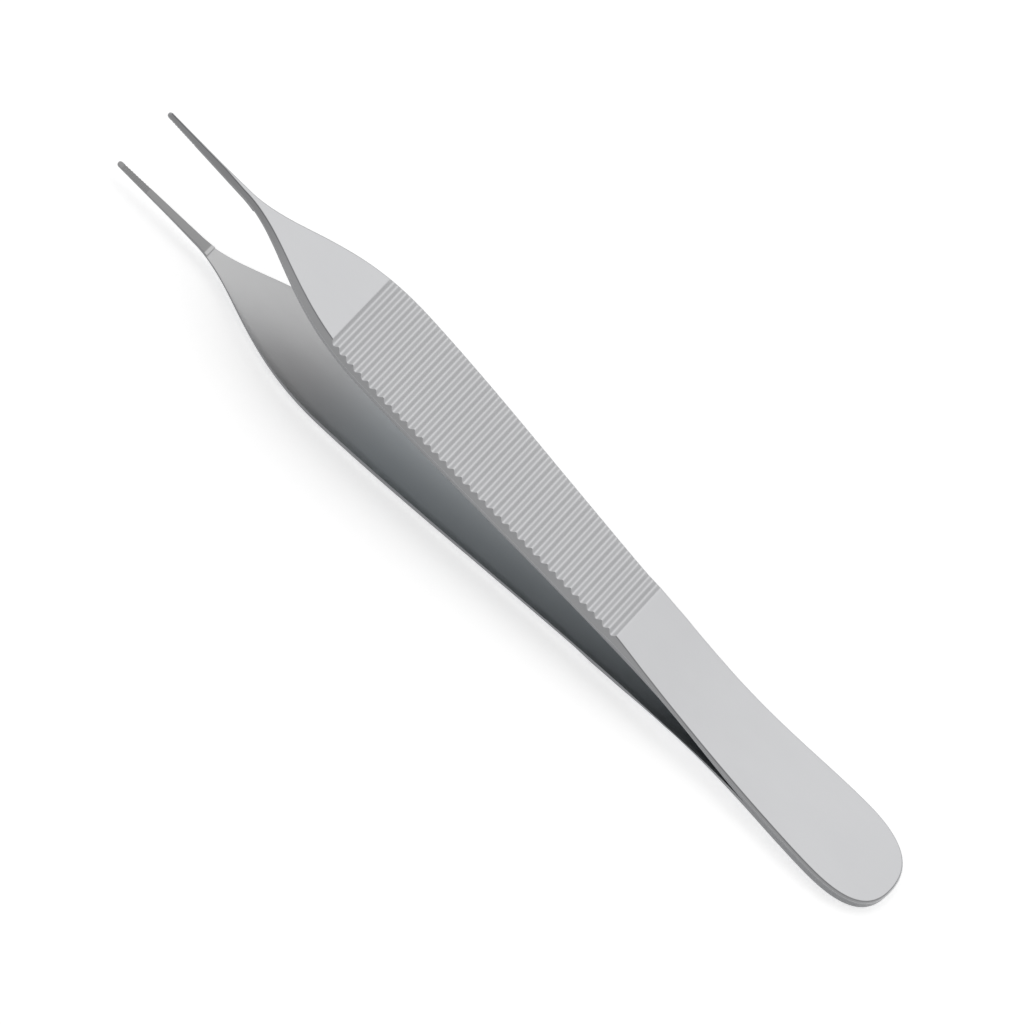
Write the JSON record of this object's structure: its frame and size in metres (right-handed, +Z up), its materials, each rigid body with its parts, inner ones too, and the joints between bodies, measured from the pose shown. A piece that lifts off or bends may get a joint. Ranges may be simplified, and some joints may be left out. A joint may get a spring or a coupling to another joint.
{
  "type": "thumb forceps",
  "caption": "Fine-tipped thumb forceps of satin steel: bowed blades with ridged finger grips, joined at a broad sprung heel, for picking up and holding small things.",
  "frame": {"origin": "middle of the bounding box in plan, on the surface the forceps lie on", "axes": "+X along the forceps from the tips to the heel, +Y across the blades' faces, +Z up from the surface they lie on"},
  "size_m": [0.1202, 0.0154, 0.0135],
  "materials": {
    "upper_steel": "satin",
    "lower_steel": "satin"
  },
  "bodies": {
    "root": {"upper_blade": "upper_steel", "lower_blade": "lower_steel"}
  },
  "joints": []
}
